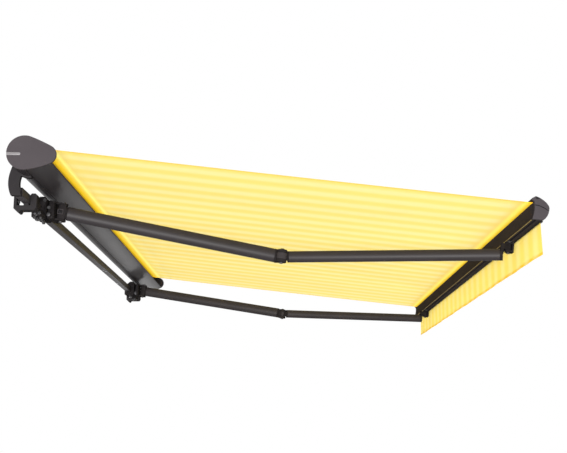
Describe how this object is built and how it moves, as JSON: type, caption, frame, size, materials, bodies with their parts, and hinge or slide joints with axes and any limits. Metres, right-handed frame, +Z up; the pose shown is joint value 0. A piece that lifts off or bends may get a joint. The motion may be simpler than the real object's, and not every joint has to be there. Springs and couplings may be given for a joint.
{
  "type": "cassette awning",
  "caption": "Wall-mounted cassette awning with folding arms, a roller cloth, a hooded front bar and a hanging valance, shown extended.",
  "frame": {"origin": "on the wall plane, midway along the awning, level with the support tube's centre", "axes": "+X along the awning to the drive end, +Y into the wall, so the awning reaches out along -Y, +Z up"},
  "size_m": [4, 2.4992, 0.5431],
  "materials": {
    "anthracite": "satin powder coat",
    "casting": "satin powder coat on a casting",
    "steel": "zinc plated",
    "galvanised": "galvanised",
    "trim": "satin",
    "black_plastic": "moulded",
    "yellow_cloth": "woven acrylic, striped"
  },
  "bodies": {
    "frame": {"wall_bracket_left": "anthracite", "cassette_carrier_left": "anthracite", "cassette_end_cap_left": "anthracite", "shoulder_clamp_left": "casting", "shoulder_clamp_plate_left": "casting", "shoulder_fork_left": "casting", "wall_bolt_left": "steel", "shoulder_clamp_bolt_left": "steel", "tilt_bolt_left": "steel", "pitch_screw_left": "steel", "shoulder_pin_left": "steel", "end_cap_inlay_left": "trim", "roller_bearing_left": "black_plastic", "wall_bracket_right": "anthracite", "cassette_carrier_right": "anthracite", "cassette_end_cap_right": "anthracite", "shoulder_clamp_right": "casting", "shoulder_clamp_plate_right": "casting", "shoulder_fork_right": "casting", "wall_bolt_right": "steel", "shoulder_clamp_bolt_right": "steel", "tilt_bolt_right": "steel", "pitch_screw_right": "steel", "shoulder_pin_right": "steel", "end_cap_inlay_right": "trim", "roller_bearing_right": "black_plastic", "support_tube": "anthracite", "cassette_back_profile": "anthracite", "cassette_lower_profile": "anthracite", "motor_body": "galvanised", "awning_cloth": "yellow_cloth"},
    "roller": {"roller_tube": "galvanised", "cloth_roll": "yellow_cloth", "idler_plug": "black_plastic", "motor_drive_wheel": "black_plastic", "motor_crown": "black_plastic"},
    "left_upper_arm": {"upper_arm_tube_left": "anthracite", "shoulder_eye_left": "casting", "elbow_fork_left": "casting", "elbow_pin_left": "steel", "arm_spring_left": "steel"},
    "left_lower_arm": {"lower_arm_tube_left": "anthracite", "elbow_eye_left": "casting", "tip_lug_left": "casting"},
    "right_upper_arm": {"upper_arm_tube_right": "anthracite", "shoulder_eye_right": "casting", "elbow_fork_right": "casting", "elbow_pin_right": "steel", "arm_spring_right": "steel"},
    "right_lower_arm": {"lower_arm_tube_right": "anthracite", "elbow_eye_right": "casting", "tip_lug_right": "casting"},
    "front_bar": {"front_bar_profile": "anthracite", "valance": "yellow_cloth", "front_end_cap_left": "anthracite", "tip_bracket_left": "casting", "tip_pin_left": "steel", "front_end_cap_right": "anthracite", "tip_bracket_right": "casting", "tip_pin_right": "steel"}
  },
  "joints": [
    {"name": "left_shoulder", "type": "hinge", "parent": "frame", "child": "left_upper_arm", "pos_m": [-1.44, -0.169, -0.006], "axis": [0, -0.1132, 0.9936], "range_deg": [0, 80.7], "deforming": ["awning_cloth"]},
    {"name": "left_elbow", "type": "hinge", "parent": "left_upper_arm", "child": "left_lower_arm", "pos_m": [-1.30058, -1.28902, -0.20608], "axis": [0, -0.1132, 0.9936], "range_deg": [-162.4, 1]},
    {"name": "left_tip", "type": "hinge", "parent": "left_lower_arm", "child": "front_bar", "pos_m": [-1.44, -2.42965, -0.22532], "axis": [0, -0.1132, 0.9936], "range_deg": [-1, 81.7]},
    {"name": "right_shoulder", "type": "hinge", "parent": "frame", "child": "right_upper_arm", "pos_m": [1.44, -0.169, -0.006], "axis": [0, -0.1132, 0.9936], "range_deg": [-81.7, 1]},
    {"name": "right_elbow", "type": "hinge", "parent": "right_upper_arm", "child": "right_lower_arm", "pos_m": [1.30058, -1.28902, -0.20608], "axis": [0, -0.1132, 0.9936], "range_deg": [-1, 162.4]},
    {"name": "roller_spin", "type": "hinge", "parent": "frame", "child": "roller", "pos_m": [0, -0.12044, 0.1508], "axis": [1, 0, 0], "range_deg": [-2972, 10]}
  ],
  "couplings": [
    {"joint": "left_elbow", "follows": "left_shoulder", "ratio": -2},
    {"joint": "left_tip", "follows": "left_shoulder", "ratio": 1},
    {"joint": "right_shoulder", "follows": "left_shoulder", "ratio": -1},
    {"joint": "right_elbow", "follows": "left_shoulder", "ratio": 2},
    {"joint": "roller_spin", "follows": "left_shoulder", "ratio": -36.33}
  ]
}
